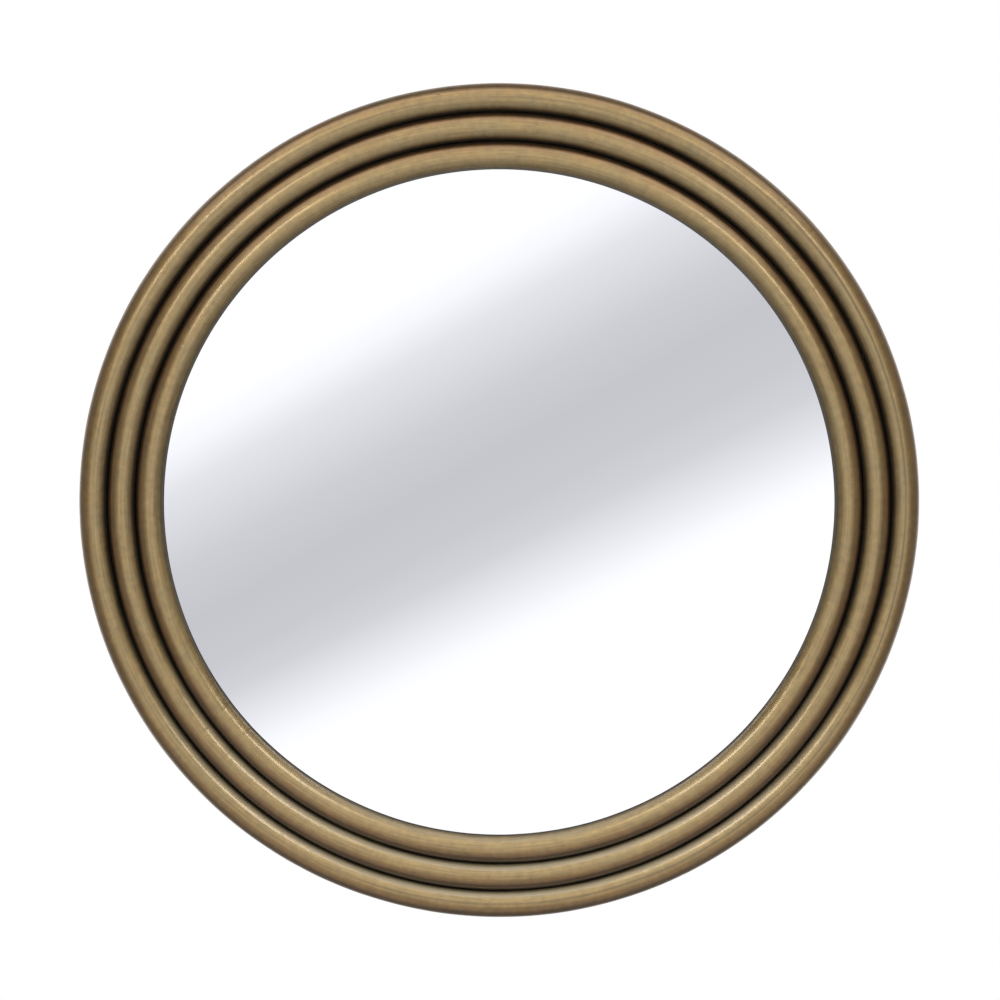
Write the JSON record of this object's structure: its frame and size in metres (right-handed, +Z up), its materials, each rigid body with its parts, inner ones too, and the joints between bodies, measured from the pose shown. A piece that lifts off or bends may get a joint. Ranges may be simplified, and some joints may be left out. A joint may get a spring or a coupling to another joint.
{
  "type": "wall mirror",
  "caption": "Round wall mirror in a frame of nested antique-brass tube rings, with a screwed backing board and swinging D-ring hangers behind.",
  "frame": {"origin": "centre of the mirror on the wall plane, where the bumper tips rest", "axes": "+X viewer's right, +Y into the wall, +Z up; the mirror faces -Y"},
  "size_m": [0.762, 0.0464, 0.7619],
  "materials": {
    "antique_brass": "antiqued satin brass, darker in the grooves",
    "mirror": "silvered flat glass",
    "board": "black-sprayed fibreboard",
    "carrier": "raw fibreboard",
    "zinc_steel": "zinc plated",
    "foam": "closed-cell foam",
    "tape": "foam tape",
    "bumper_rubber": "matte rubber"
  },
  "bodies": {
    "frame": {"outer_ring_tube": "antique_brass", "middle_ring_tube": "antique_brass", "inner_ring_tube": "antique_brass", "ring_tack_welds": "antique_brass", "lug_welds": "antique_brass", "glazing_gasket": "foam", "mirror_glass": "mirror", "mirror_tape": "tape", "glass_carrier": "carrier", "backing_board": "board", "board_screws": "zinc_steel", "carrier_screws": "zinc_steel", "hanger_strap_left": "zinc_steel", "hanger_strap_right": "zinc_steel", "hanger_screws": "zinc_steel", "fixing_lug_1": "antique_brass", "fixing_lug_2": "antique_brass", "fixing_lug_3": "antique_brass", "fixing_lug_4": "antique_brass", "fixing_lug_5": "antique_brass", "fixing_lug_6": "antique_brass", "fixing_lug_7": "antique_brass", "fixing_lug_8": "antique_brass", "wall_bumper_1": "bumper_rubber", "wall_bumper_2": "bumper_rubber", "wall_bumper_3": "bumper_rubber", "wall_bumper_4": "bumper_rubber"},
    "hanger_ring_left": {"hanger_ring_left": "zinc_steel"},
    "hanger_ring_right": {"hanger_ring_right": "zinc_steel"}
  },
  "joints": [
    {"name": "ring_left_swing", "type": "hinge", "parent": "frame", "child": "hanger_ring_left", "pos_m": [-0.2032, -0.0034, 0.19984], "axis": [1, 0, 0], "range_deg": [0, 178]},
    {"name": "ring_right_swing", "type": "hinge", "parent": "frame", "child": "hanger_ring_right", "pos_m": [0.2032, -0.0034, 0.19984], "axis": [1, 0, 0], "range_deg": [0, 178]}
  ]
}
